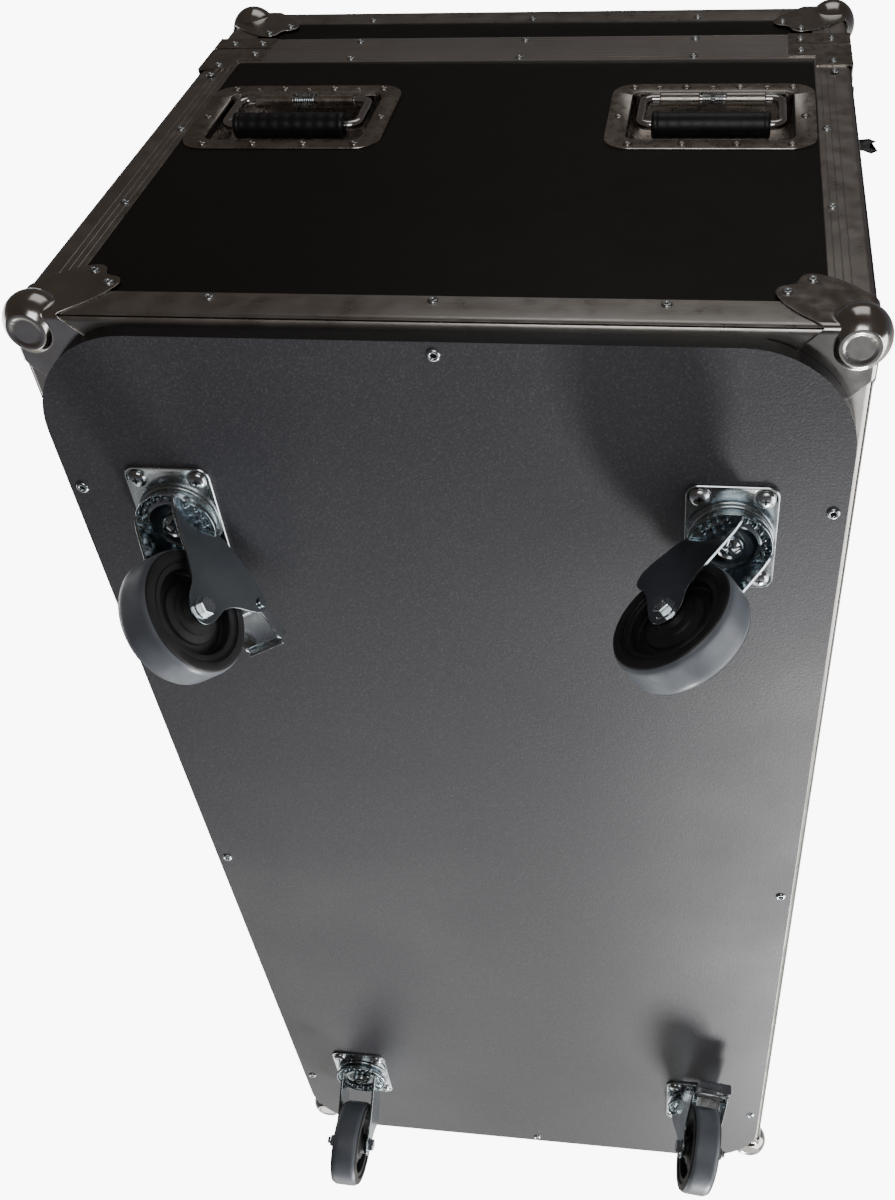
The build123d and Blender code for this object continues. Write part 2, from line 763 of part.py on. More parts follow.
# Foam pads on the floor, the walls and under the lid
def body_foam():
    floor = case_bottom + angle_thickness + panel_thickness
    top = joint_z - rim_inner_leg - 1
    t = foam_thickness
    parts = [span(-inner_x, inner_x, -inner_y, inner_y, floor, floor + t)]
    for s in (-1, 1):
        y0, y1 = sorted((s * inner_y, s * (inner_y - t)))
        wall = span(-inner_x, inner_x, y0, y1, floor + t, top)
        if s < 0:
            for side in (-1, 1):
                x = side * latch_spacing / 2
                room_w = latch_width / 2 - latch_cup_margin + foam_dish_clearance
                room_h = latch_height / 2 - latch_cup_margin + foam_dish_clearance
                z = latch_centre_z()
                depth = latch_depth - panel_thickness + foam_dish_clearance
                wall -= span(x - room_w, x + room_w, -inner_y - 1, -inner_y + depth, z - room_h, z + room_h)
        parts.append(wall)
        x0, x1 = sorted((s * inner_x, s * (inner_x - t)))
        end = span(x0, x1, t - inner_y, inner_y - t, floor + t, top)
        for side in (-1, 1):
            room = handle_depth - panel_thickness + foam_dish_clearance
            hole = Box(2 * room, handle_cup_width + 2 * foam_dish_clearance,
                       handle_cup_height + 2 * foam_dish_clearance)
            end -= Pos(s * inner_x, side * handle_spacing / 2, case_bottom + handle_height) * hole
        parts.append(end)
    return parts


def lid_foam():
    top = lid_top - angle_thickness - panel_thickness
    return [span(-inner_x + 1, inner_x - 1, -inner_y + 1, inner_y - 1, top - foam_thickness, top)]


save("base_panel", [base_panel()])
save("front_panel", [long_panel(-1)])
save("rear_panel", [long_panel(1)])
save("right_end_panel", [end_panel(1)])
save("left_end_panel", [end_panel(-1)])
save("castor_board", [castor_board()])
save("body_edge_angles",
     flat_angles(case_bottom, 1) + upright_angles(case_bottom + angle_end_gap, joint_z - body_rim_height))
save("body_rim_extrusion", body_rim_extrusion())
save("body_ball_corners", ball_corners(case_bottom, 1))
save("body_corner_braces",
     corner_braces(joint_z - brace_drop, joint_z - brace_joint_gap,
                   joint_z - brace_foot_height, joint_z - brace_joint_gap))
save("body_rivets",
     shell_rivets(case_bottom, 1, (case_bottom + 169, case_bottom + 306), joint_z - 24,
                  ((16, joint_z - 64), (16, joint_z - 40), (44, joint_z - 14))) + board_rivets())
save("body_foam_lining", body_foam())

save("lid_top_panel", [lid_top_panel()])
save("lid_side_panels", lid_side_panels())
save("lid_edge_angles",
     flat_angles(lid_top, -1) + upright_angles(joint_z + lid_rim_height, lid_top - angle_end_gap))
save("lid_rim_extrusion", lid_rim_extrusion())
save("lid_ball_corners", ball_corners(lid_top, -1))
save("lid_corner_braces",
     corner_braces(joint_z + brace_joint_gap + lid_gap, joint_z + lid_rim_height,
                   joint_z + brace_joint_gap + lid_gap, joint_z + lid_rim_height))
save("lid_rivets", shell_rivets(lid_top, -1, (), joint_z + 18, ((44, joint_z + 13), (16, joint_z + 13))))
save("lid_foam_lining", lid_foam())

save("castor_bolts", castor_bolts())
plates = []
for name, ((cx, cy), angle, brake) in castor_sites().items():
    plates.append(Pos(cx, cy, castor_height) * castor_plate())
    place = Pos(cx, cy, castor_height) * Rot(0, 0, angle)
    save("castor_fork_" + name, [place * castor_fork(brake)])
    save("castor_axle_" + name, [place * castor_axle()])
    save("wheel_core_" + name, [place * wheel_core()])
    save("wheel_tyre_" + name, [place * tyre()])
    if brake:
        save("brake_pedal_" + name, [place * brake_pedal()])
save("castor_plates", plates)

springs = []
for end, label in ((1, "right"), (-1, "left")):
    dishes = []
    for name, place in handle_places(end):
        dishes.append(place * handle_dish())
        springs.append(place * handle_spring())
        save("handle_bail_" + label + "_" + name, [place * handle_bail()])
        save("handle_grip_" + label + "_" + name, [place * handle_grip()])
    save("handle_dishes_" + label, dishes)
save("handle_springs", springs)

for side, label in ((-1, "left"), (1, "right")):
    save("latch_cam_" + label, [latch_cam(side * latch_spacing / 2)])
    save("latch_wing_" + label, [latch_wing(side * latch_spacing / 2)])
save("latch_dishes", [latch_dish(s * latch_spacing / 2) for s in (-1, 1)])
save("latch_keepers", [latch_keeper(s * latch_spacing / 2) for s in (-1, 1)])
save("hinge_body_leaves", [hinge_knuckles(i * hinge_spacing, (0, 2, 4), -1) for i in (-1, 0, 1)])
save("hinge_lid_leaves", [hinge_knuckles(i * hinge_spacing, (1, 3), 1) for i in (-1, 0, 1)])
save("hinge_pins", [hinge_pin(i * hinge_spacing) for i in (-1, 0, 1)])
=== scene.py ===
import bpy, bmesh, json, math
import numpy as np
from mathutils import Matrix, Vector


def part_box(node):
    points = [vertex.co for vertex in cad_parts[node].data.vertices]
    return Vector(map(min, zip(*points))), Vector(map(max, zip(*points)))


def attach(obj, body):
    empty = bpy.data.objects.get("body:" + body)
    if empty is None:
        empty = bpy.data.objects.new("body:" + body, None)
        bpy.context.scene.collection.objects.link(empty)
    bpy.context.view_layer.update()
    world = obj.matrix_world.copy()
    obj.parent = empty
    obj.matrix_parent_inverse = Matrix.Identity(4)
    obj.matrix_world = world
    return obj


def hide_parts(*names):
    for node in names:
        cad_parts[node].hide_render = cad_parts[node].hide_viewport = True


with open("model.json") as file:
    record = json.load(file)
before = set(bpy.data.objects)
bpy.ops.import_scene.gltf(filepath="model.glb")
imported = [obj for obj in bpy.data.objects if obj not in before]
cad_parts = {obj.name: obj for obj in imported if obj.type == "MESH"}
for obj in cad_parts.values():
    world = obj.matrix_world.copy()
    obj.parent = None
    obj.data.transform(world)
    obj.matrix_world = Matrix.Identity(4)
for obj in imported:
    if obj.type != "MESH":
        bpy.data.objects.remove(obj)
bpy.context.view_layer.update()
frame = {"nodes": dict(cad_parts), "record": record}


# Panels: black phenolic laminate on plywood, held in the edge angles by rivets.
# The face has a fine pressed grain and a faint brown cast.
def finish(name, roughness=0.5, metallic=0.0):
    """A new material with its plain inputs set and a node for the piece's own coordinates."""
    material = bpy.data.materials.new(name)
    material.use_nodes = True
    tree = material.node_tree
    tree.nodes.new("ShaderNodeTexCoord")
    inputs = tree.nodes["Principled BSDF"].inputs
    inputs["Roughness"].default_value = roughness
    inputs["Metallic"].default_value = metallic
    return material


def noise(tree, scale, detail=4.0):
    node = tree.nodes.new("ShaderNodeTexNoise")
    node.inputs["Scale"].default_value = scale
    node.inputs["Detail"].default_value = detail
    tree.links.new(tree.nodes["Texture Coordinate"].outputs["Object"], node.inputs["Vector"])
    return node.outputs["Fac"]


def ramp(tree, factor, stops):
    """Colours, or greys given as one number, laid along the factor at the stops."""
    node = tree.nodes.new("ShaderNodeValToRGB")
    while len(node.color_ramp.elements) < len(stops):
        node.color_ramp.elements.new(0.5)
    for element, (at, colour) in zip(node.color_ramp.elements, stops):
        element.position = at
        element.color = (*colour, 1) if isinstance(colour, tuple) else (colour, colour, colour, 1)
    tree.links.new(factor, node.inputs["Fac"])
    return node.outputs["Color"]


def vary(material, socket, scale, low, high, upper=0.7):
    """Noise moves the socket from low, where it is 0.3, to high, where it is upper."""
    tree = material.node_tree
    value = ramp(tree, noise(tree, scale), [(0.3, low), (upper, high)])
    tree.links.new(value, tree.nodes["Principled BSDF"].inputs[socket])


def bump(material, height, strength, depth):
    """A bump node on the shader's normal, over any bump that is already there."""
    tree = material.node_tree
    normal = tree.nodes["Principled BSDF"].inputs["Normal"]
    node = tree.nodes.new("ShaderNodeBump")
    node.inputs["Strength"].default_value = strength
    node.inputs["Distance"].default_value = depth
    tree.links.new(height, node.inputs["Height"])
    if normal.is_linked:
        tree.links.new(normal.links[0].from_socket, node.inputs["Normal"])
    tree.links.new(node.outputs["Normal"], normal)


def grain(material, scale, strength, depth, detail=4.0):
    bump(material, noise(material.node_tree, scale, detail), strength, depth)


def paint(nodes, material):
    """A CAD node that keeps its shape takes a Blender material."""
    for node in nodes:
        mesh = frame["nodes"][node].data
        mesh.materials.clear()
        mesh.materials.append(material)


laminate = finish("laminate_black")
laminate.node_tree.nodes["Principled BSDF"].inputs["Specular IOR Level"].default_value = 0.3
vary(laminate, "Base Color", 3.0, (0.0060, 0.0045, 0.0035), (0.0100, 0.0075, 0.0058))
vary(laminate, "Roughness", 14.0, 0.42, 0.56)
grain(laminate, 900.0, 0.25, 0.0003, detail=2.0)
paint(["base_panel", "front_panel", "rear_panel", "right_end_panel", "left_end_panel"], laminate)
paint(["lid_top_panel", "lid_side_panels"], laminate)

# Castor board: dark grey textured sheet screwed under the case, with black cut edges.
# The face is finely speckled, lighter specks on a blue grey ground.
board = finish("castor_board_grain")
tree = board.node_tree
speck_scale, speck_detail = 620.0, 3.0
speck_stops = [(0.40, (0.031, 0.031, 0.038)), (0.60, (0.045, 0.044, 0.052)), (0.74, (0.080, 0.079, 0.086))]
speck = ramp(tree, noise(tree, speck_scale, speck_detail), speck_stops)
normal = tree.nodes.new("ShaderNodeNewGeometry").outputs["Normal"]
split = tree.nodes.new("ShaderNodeSeparateXYZ")
tree.links.new(normal, split.inputs["Vector"])
level = tree.nodes.new("ShaderNodeMath")
level.operation = "ABSOLUTE"
tree.links.new(split.outputs["Z"], level.inputs[0])
face_or_edge = tree.nodes.new("ShaderNodeMix")
face_or_edge.data_type = "RGBA"
face_or_edge.inputs["A"].default_value = (0.008, 0.008, 0.009, 1)
tree.links.new(level.outputs[0], face_or_edge.inputs["Factor"])
tree.links.new(speck, face_or_edge.inputs["B"])
tree.links.new(face_or_edge.outputs["Result"], tree.nodes["Principled BSDF"].inputs["Base Color"])
vary(board, "Roughness", 5.0, 0.40, 0.52)
grain(board, speck_scale, 0.35, 0.0004, speck_detail)
paint(["castor_board"], board)

# Edge angles: extruded aluminium, an L section with fine grooves along it and a rolled outer corner.
# Riveted through both legs; each length stops short of the next under a ball corner.
joints = {j["name"]: j for j in frame["record"]["behaviour"]["joints"]}
body_low, body_high = (np.array(v) * 1000 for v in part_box("body_edge_angles"))
lid_low, lid_high = (np.array(v) * 1000 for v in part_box("lid_edge_angles"))
half_x, half_y, bottom, top = body_high[0], body_high[1], body_low[2], lid_high[2]
angle_leg, angle_sheet, angle_roll, end_gap = 33.0, 1.5, 6.5, 33.5
groove_pitch, groove_depth, foot_taper = 5.5, 0.22, 0.6

alloy = finish("edge_aluminium", metallic=1.0)
vary(alloy, "Base Color", 6.0, (0.43, 0.405, 0.38), (0.58, 0.555, 0.53))
vary(alloy, "Roughness", 60.0, 0.26, 0.42, 0.75)
grain(alloy, 240.0, 0.12, 0.0002)


def grid_part(p, close_u=False, close_v=False):
    """Points and quads of the grid p[i, j], in millimetres; a closed way joins last row to first."""
    nu, nv = p.shape[:2]
    rows = np.arange(nu if close_u else nu - 1)
    i, j = np.meshgrid(rows, np.arange(nv if close_v else nv - 1), indexing="ij")
    a, b = (i + 1) % nu, (j + 1) % nv
    quads = np.stack([i * nv + j, a * nv + j, a * nv + b, i * nv + b], -1)
    return p.reshape(-1, 3), quads.reshape(-1, 4).tolist()


def capped(p):
    """A tube over the loops p[i], closed in j, with its first and last loop filled."""
    points, faces = grid_part(p, close_v=True)
    n, m = p.shape[:2]
    return points, faces + [list(range(m))[::-1], list(range((n - 1) * m, n * m))]


def moved(part, origin=(0, 0, 0), x=(1, 0, 0), z=(0, 0, 1)):
    """Local X and Z turned to x and z, local origin put at origin."""
    x, z = np.array(x, float), np.array(z, float)
    x, z = x / np.linalg.norm(x), z / np.linalg.norm(z)
    return part[0] @ np.stack([x, np.cross(z, x), z]) + np.array(origin, float), part[1]


def make(name, parts, body, materials, nodes=(), bevel=0.0, sharp=35, weld=0.0):
    """One piece in metres from parts in millimetres. A part's third item is its material's index."""
    points = np.concatenate([p[0] for p in parts]) / 1000
    faces, marks, start = [], [], 0
    for p in parts:
        faces += [[v + start for v in f] for f in p[1]]
        marks += [p[2] if len(p) > 2 else 0] * len(p[1])
        start += len(p[0])
    mesh = bpy.data.meshes.new(name)
    mesh.from_pydata(points.tolist(), [], faces)
    mesh.polygons.foreach_set("material_index", marks)
    bm = bmesh.new()
    bm.from_mesh(mesh)
    if weld:
        bmesh.ops.remove_doubles(bm, verts=bm.verts, dist=weld / 1000)
    bmesh.ops.recalc_face_normals(bm, faces=bm.faces)
    bm.to_mesh(mesh)
    bm.free()
    mesh.polygons.foreach_set("use_smooth", [True] * len(mesh.polygons))
    mesh.set_sharp_from_angle(angle=math.radians(sharp))
    piece = bpy.data.objects.new(name, mesh)
    bpy.context.scene.collection.objects.link(piece)
    for material in materials:
        mesh.materials.append(material)
    if bevel:
        edge = piece.modifiers.new("edge", "BEVEL")
        edge.width, edge.segments, edge.limit_method = bevel / 1000, 2, "ANGLE"
        edge.angle_limit = math.radians(50)
        edge.harden_normals = True
    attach(piece, body)
    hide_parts(*nodes)
    return piece


def angle_section():
    """L section: grooved legs, a quarter circle of radius roll at the corner, and a plain inside."""
    run = [angle_leg, angle_leg - foot_taper]
    for g in np.arange(angle_leg - 5, angle_roll + 6, -groove_pitch):
        run += [g + 0.5, g + 0.2, g - 0.2, g - 0.5]
    depth = [foot_taper, 0.0] + [0.0, groove_depth, groove_depth, 0.0] * ((len(run) - 2) // 4)
    one = np.stack([run, depth], -1)
    a = np.linspace(1.5 * np.pi, np.pi, 9)
    arc = angle_roll + angle_roll * np.stack([np.cos(a), np.sin(a)], -1)
    crook = angle_sheet + 1.4
    inner = [(angle_sheet, angle_leg), (angle_sheet, angle_roll + 1), (crook, crook)]
    inner += [(angle_roll + 1, angle_sheet), (angle_leg, angle_sheet)]
    return np.concatenate([one, arc, one[::-1, ::-1], inner])


def angle_bar(length, centre, first, second):
    """The section carried straight along a length, its two legs lying first and second."""
    loop = angle_section()
    along = np.repeat([[-length / 2], [length / 2]], len(loop), 1)
    p = np.stack([along, np.tile(loop[:, 0], (2, 1)), np.tile(loop[:, 1], (2, 1))], -1)
    return moved(capped(p), centre, np.cross(first, second), second)


def shell_bars(z, up, z0, z1):
    """Four level bars at height z and four upright ones from z0 to z1."""
    bars = []
    for s in (-1, 1):
        bars.append(angle_bar(2 * (half_x - end_gap), (0, s * half_y, z), (0, -s, 0), (0, 0, up)))
        bars.append(angle_bar(2 * (half_y - end_gap), (s * half_x, 0, z), (-s, 0, 0), (0, 0, up)))
        for t in (-1, 1):
            corner = (s * half_x, t * half_y, (z0 + z1) / 2)
            bars.append(angle_bar(z1 - z0, corner, (-s, 0, 0), (0, -t, 0)))
    return bars


body_bars = shell_bars(bottom, 1, bottom + end_gap, body_high[2])
lid_bars = shell_bars(top, -1, lid_low[2], top - end_gap)
make("case_edge_bars", body_bars, "case", [alloy], ["body_edge_angles"])
make("lid_edge_bars", lid_bars, "lid", [alloy], ["lid_edge_angles"])

# Rim extrusions: aluminium, tongue on the body and groove in the lid, mitred at the corners.
# Their outer legs carry the same grooves, which run level all round.
rim = finish("rim_aluminium", 0.33, 1.0)
vary(rim, "Base Color", 6.0, (0.42, 0.395, 0.37), (0.56, 0.535, 0.51))
tree = rim.node_tree
split = tree.nodes.new("ShaderNodeSeparateXYZ")
tree.links.new(tree.nodes["Texture Coordinate"].outputs["Object"], split.inputs["Vector"])
phase = tree.nodes.new("ShaderNodeMath")
phase.operation = "MULTIPLY"
phase.inputs[1].default_value = 2000 * math.pi / groove_pitch
tree.links.new(split.outputs["Z"], phase.inputs[0])
wave = tree.nodes.new("ShaderNodeMath")
wave.operation = "SINE"
tree.links.new(phase.outputs[0], wave.inputs[0])
bump(rim, ramp(tree, wave.outputs[0], [(0.6, 0.0), (0.9, 1.0)]), 1.0, 0.0012)
grain(rim, 240.0, 0.1, 0.0002)
paint(["body_rim_extrusion", "lid_rim_extrusion"], rim)

# Ball corners: pressed zinc plated steel, riveted on. A round ball with a ringed flat on its top or
# bottom, and three necked arms that end in two rivet lobes over the panels.
ball_in, ball_radius, ball_flat, ball_blend = 12.5, 22.0, 4.4, 8.0
leaf_sheet, leaf_lift, leaf_edge = 1.0, 1.1, 5.0
ring_radius, ring_width, ring_rise = 10.6, 0.7, 0.5
arm_degrees = [0, 5, 12, 19, 24, 28, 32, 36, 40, 43, 45]
arm_reach = [38, 40, 47, 59, 68.5, 76, 82, 84.5, 82.5, 79.5, 79]

corner_zinc = finish("corner_zinc", metallic=1.0)
vary(corner_zinc, "Base Color", 24.0, (0.50, 0.475, 0.45), (0.66, 0.64, 0.62))
vary(corner_zinc, "Roughness", 90.0, 0.12, 0.27, 0.75)
grain(corner_zinc, 380.0, 0.08, 0.0002)


def smooth_step(x):
    """3 x^2 - 2 x^3 with x held from 0 to 1."""
    x = np.clip(x, 0, 1)
    return x * x * (3 - 2 * x)


def corner_face(count, flat):
    """Polar grid over one face: point s L(f) (cos f, sin f), s in 0..1, L read from arm_reach.
    Near the corner each point moves out along its ray from the ball centre to the ball."""
    f = np.radians(np.linspace(0, 90, count))
    degrees = np.degrees(f)
    reach = np.interp(np.minimum(degrees, 90 - degrees), arm_degrees, arm_reach)
    s = np.linspace(0, 1, 80)[:, None]
    p = np.stack([s * reach * np.cos(f), s * reach * np.sin(f), 0 * s * f], -1) - leaf_lift
    u, v = p[..., 0].copy(), p[..., 1].copy()
    c = leaf_edge - leaf_lift
    away = np.maximum(c - p, 0)
    size = np.linalg.norm(away, axis=-1, keepdims=True)
    p = np.where(away > 0, c - away * leaf_edge / np.maximum(size, leaf_edge), p)
    q = p - ball_in
    dist = np.linalg.norm(q, axis=-1)
    ball = ball_in + q * (ball_radius / dist)[..., None]
    weight = (1 - smooth_step((u - ball_in) / ball_blend)) * (1 - smooth_step((v - ball_in) / ball_blend))
    weight = np.where(dist < ball_radius, 1.0, weight)[..., None]
    p = p + (ball - p) * weight
    if flat:
        rho = np.hypot(p[..., 0] - ball_in, p[..., 1] - ball_in)
        ring = 0.9 * (1 - smooth_step((rho - ring_radius + 1) / 0.9))
        ring += ring_rise * np.exp(-(((rho - ring_radius) / ring_width) ** 2))
        p[..., 2] = np.maximum(p[..., 2], ring - ball_flat)
    return p


def corner_parts(z, up):
    """The level face and the two upright ones at each of four corners."""
    faces = [corner_face(65, True), corner_face(35, False), corner_face(35, False)]
    parts = []
    for sx in (-1, 1):
        for sy in (-1, 1):
            for k, face in enumerate(faces):
                turned = np.roll(face, k, axis=-1) * np.array([-sx, -sy, up])
                parts.append(grid_part(turned + np.array([sx * half_x, sy * half_y, z])))
    return parts


for name, z, up, body, node in (
    ("case_ball_corners", bottom, 1, "case", "body_ball_corners"),
    ("lid_ball_corners_round", top, -1, "lid", "lid_ball_corners"),
):
    piece = make(name, corner_parts(z, up), body, [corner_zinc], [node], weld=0.02, sharp=60)
    sheet = piece.modifiers.new("sheet", "SOLIDIFY")
    sheet.thickness, sheet.offset = leaf_sheet / 1000, -1

# Corner braces: flat steel plates bent round the upright edges at the lid joint and riveted on.
# Their plating is a little browner and duller than the ball corners'.
fittings = finish("fitting_steel", metallic=1.0)
vary(fittings, "Base Color", 30.0, (0.37, 0.335, 0.305), (0.54, 0.50, 0.465))
vary(fittings, "Roughness", 130.0, 0.22, 0.38, 0.75)
grain(fittings, 500.0, 0.08, 0.0002)
paint(["body_corner_braces", "lid_corner_braces"], fittings)

# Rivets: zinc plated tubular rivets with a rolled rim round an open centre, set through the
# angles, leaves and braces. The centre is a flat near-black disc, painted shade for the hole.
# Each takes its place and size from its solid in the CAD node.
zinc = finish("zinc_plate", metallic=1.0)
vary(zinc, "Base Color", 28.0, (0.46, 0.50, 0.52), (0.70, 0.735, 0.75))
vary(zinc, "Roughness", 110.0, 0.13, 0.33, 0.75)
grain(zinc, 420.0, 0.10, 0.0003)
# Painted shade: a near-black colour on a flat disc stands for the shadowed hole in each rivet.
bore_shade = finish("rivet_bore_shade", 0.6, 0.3)
vary(bore_shade, "Base Color", 300.0, (0.006, 0.006, 0.006), (0.018, 0.018, 0.019))
lid_joint_z = joints["lid_hinge"]["pos_m"][2] * 1000
rivet_sides, bore_share = 28, 0.385


def revolved(profile, count=64):
    """p(i, t) = (r_i cos t, r_i sin t, h_i) for the closed profile (r, h), about local Z."""
    r, h = np.array(profile, float).T
    t = np.linspace(0, 2 * np.pi, count, endpoint=False)
    p = np.stack([np.outer(r, np.cos(t)), np.outer(r, np.sin(t)), np.outer(h, np.ones(count))], -1)
    if r.min() > 0:
        return grid_part(p, close_u=True, close_v=True)
    return capped(p[1:-1])


def rivet_places(node):
    """Centre, outward axis and radius of each loose solid of the node's mesh, in millimetres."""
    mesh = frame["nodes"][node].data
    points = np.empty(len(mesh.vertices) * 3)
    mesh.vertices.foreach_get("co", points)
    edges = np.empty(len(mesh.edges) * 2, int)
    mesh.edges.foreach_get("vertices", edges)
    points, edges = points.reshape(-1, 3) * 1000, edges.reshape(-1, 2)
    keys = np.unique(np.round(points, 3), axis=0, return_inverse=True)[1].ravel()
    mark = np.arange(keys.max() + 1)
    pairs = keys[edges]
    while True:
        lowest = mark.copy()
        np.minimum.at(lowest, pairs[:, 0], mark[pairs[:, 1]])
        np.minimum.at(lowest, pairs[:, 1], mark[pairs[:, 0]])
        lowest = lowest[lowest]
        if (lowest == mark).all():
            break
        mark = lowest
    for m in np.unique(mark):
        own = points[mark[keys] == m]
        low, high = own.min(0), own.max(0)
        thin = int(np.argmin(high - low))
        middle = lid_joint_z - 100 if thin == 2 else 0
        side = 1.0 if low[thin] + high[thin] > 2 * middle else -1.0
        normal = np.eye(3)[thin] * side
        yield (low + high - normal * (high - low)[thin]) / 2, normal, float((high - low).max()) / 2


def tubular(radius):
    """Rim rolled outwards round an open centre, as a share of the radius, and a dark disc in it that is
    painted shade for the hole.
    """
    share = [(1.0, -0.02), (1.0, 0.06), (0.94, 0.2), (0.8, 0.33), (0.62, 0.38), (0.5, 0.34)]
    share += [(0.42, 0.2), (0.38, 0.02), (0.37, -0.02)]
    ring = revolved([(r * radius, h * radius) for r, h in share], rivet_sides)
    t = np.linspace(0, 2 * np.pi, rivet_sides, endpoint=False)
    disc = bore_share * radius * np.column_stack([np.cos(t), np.sin(t)])
    bore_shade_disc = capped(np.array([np.column_stack([disc, np.full(rivet_sides, h)]) for h in (-0.02, 0.03)]))
    return ring, bore_shade_disc


for node, body in (("body_rivets", "case"), ("lid_rivets", "lid")):
    parts = []
    for base, normal, radius in rivet_places(node):
        other = (0, 0, 1) if abs(normal[2]) < 0.5 else (1, 0, 0)
        ring, bore_shade_disc = tubular(radius)
        parts += [moved(ring, base, other, normal), (*moved(bore_shade_disc, base, other, normal), 1)]
    make(body + "_tubular_rivets", parts, body, [zinc, bore_shade], [node], sharp=50)

# Castor plates: zinc plated pressings with a raised ball race and a riveted kingpin.
# Four pan head screws with cross recesses hold each to the board; each recess is a thin near-black cross,
# painted shade for the hollow.
swivels = {n[7:]: j for n, j in joints.items() if n.startswith("swivel_")}
board_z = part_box("castor_plates")[1][2] * 1000
plate_length, plate_width, plate_radius = 95, 67, 9
screw_x, screw_y = 37.5, 23.5
# Painted shade: this near-black colour stands for the shade inside each screw's cross recess.
recess_shade = finish("cross_recess_shade", 0.5, 0.6)
vary(recess_shade, "Base Color", 200.0, (0.012, 0.012, 0.013), (0.035, 0.036, 0.038))


def rounded(w, h, r, n=8):
    """A rounded rectangle w by h about the origin, anticlockwise, 4 (n + 1) points."""
    a = np.linspace(0, np.pi / 2, n + 1)
    sides = []
    for k, (sx, sy) in enumerate(((1, 1), (-1, 1), (-1, -1), (1, -1))):
        t = a + k * np.pi / 2
        sides.append(np.stack([sx * (w / 2 - r) + r * np.cos(t), sy * (h / 2 - r) + r * np.sin(t)], -1))
    return np.concatenate(sides)


def lofted(loops):
    """A capped solid through pairs of a flat loop and its height."""
    return capped(np.array([np.column_stack([loop, np.full(len(loop), h)]) for loop, h in loops]))


def castor_plate():
    """Rounded rectangle loops, each inset by e at height h, with a rolled edge below."""
    loops = []
    for e, h in ((0.2, 0), (0, -0.5), (0, -1.9), (0.6, -2.5), (2.4, -2.5), (3.4, -2.2)):
        loops.append((rounded(plate_length - 2 * e, plate_width - 2 * e, plate_radius - e), h))
    return lofted(loops)


def kingpin():
    """Head under the crown, a disc whose face lifts in four petals by
    2.6 |sin 2t|^0.7 sin(pi r / 9.2)."""
    t = np.linspace(0, 2 * np.pi, 65)[:-1]
    rows = [(5.8, -3), (5.8, -10.0), (9.7, -10.2), (10, -11), (9.9, -13.2), (9.2, -14.4)]
    p = [np.stack([r * np.cos(t), r * np.sin(t), h + 0 * t], -1) for r, h in rows]
    for r in (8.0, 7.0, 5.6, 4.2, 2.8, 1.4):
        lift = 2.6 * np.abs(np.sin(2 * t)) ** 0.7 * math.sin(math.pi * r / 9.2)
        p.append(np.stack([r * np.cos(t), r * np.sin(t), -12.6 - lift], -1))
    return capped(np.array(p))


race_profile = [(0, -2.2), (30.5, -2.2), (31.5, -2.8), (31.8, -3.8), (31.5, -4.9), (29.8, -5.6)]
race = revolved(race_profile + [(27.6, -5.9), (25.8, -6.9), (0, -6.9)], 72)
pan_profile = [(0, -6.2), (2.2, -6.2), (4.6, -5.8), (6.4, -4.7), (7.4, -3.4), (7.5, -2.5)]
pan = revolved(pan_profile + [(8.6, -2.5), (8.6, -2.0), (0, -2.0)], 32)
recess_shade_bars = [lofted([(rounded(a, b, 0.5, 2), h) for h in (-6.35, -5.6)]) for a, b in ((5.6, 1.4), (1.4, 5.6))]
parts = []
for j in swivels.values():
    at = (j["pos_m"][0] * 1000, j["pos_m"][1] * 1000, board_z)
    parts += [moved(castor_plate(), at), moved(race, at), moved(kingpin(), at)]
    for sx in (-1, 1):
        for sy in (-1, 1):
            spot = (at[0] + sx * screw_x, at[1] + sy * screw_y, board_z)
            parts += [moved(pan, spot)] + [(*moved(shade_bar, spot), 1) for shade_bar in recess_shade_bars]
make("castor_plate_set", parts, "case", [zinc, recess_shade], ["castor_plates", "castor_bolts"], sharp=40)

# Castor forks: zinc plated steel stampings, a round crown under the race with a rolled lip and balls,
# and two shaped legs down to the axle. Braked ones carry a pin for the pedal.
braked = [n[6:] for n in joints if n.startswith("brake_")]
drop, trail = board_z - joints["spin_right_front"]["pos_m"][2] * 1000, 38.0
ball_count, ball_circle, leg_sheet = 22, 25.4, 2.5
plated = finish("fork_zinc", metallic=1.0)
vary(plated, "Base Color", 22.0, (0.34, 0.40, 0.43), (0.56, 0.615, 0.645))
vary(plated, "Roughness", 90.0, 0.12, 0.28, 0.75)
grain(plated, 380.0, 0.10, 0.0003)


def soft_outline(points, passes=2):
    """Corner cutting: each pass puts points 22 and 78 hundredths along every side."""
    p = np.array(points, float)
    for _ in range(passes):
        q = np.roll(p, -1, axis=0)
        p = np.stack([0.78 * p + 0.22 * q, 0.22 * p + 0.78 * q], 1).reshape(-1, 2)
    return p


def plate(outline, y0, y1):
    """A flat outline in local X and Z, from y0 to y1."""
    loops = [np.column_stack([outline[:, 0], np.full(len(outline), y), outline[:, 1]]) for y in (y0, y1)]
    return capped(np.array(loops))


def tube(path, radius, count=16):
    """A round tube along a path of points, its rings square to the path and its ends filled."""
    path = np.array(path, float)
    t = np.gradient(path, axis=0)
    t /= np.linalg.norm(t, axis=1)[:, None]
    slanted = abs(t[:, 2]).max() < 0.9 or abs(t[:, 0]).max() > 0.5
    side = np.cross(t, (0.31, 0.17, 0.94) if slanted else (1, 0.1, 0))
    side /= np.linalg.norm(side, axis=1)[:, None]
    up = np.cross(t, side)
    a = np.linspace(0, 2 * np.pi, count, endpoint=False)
    ring = np.cos(a)[None, :, None] * side[:, None] + np.sin(a)[None, :, None] * up[:, None]
    return capped(path[:, None] + radius * ring)


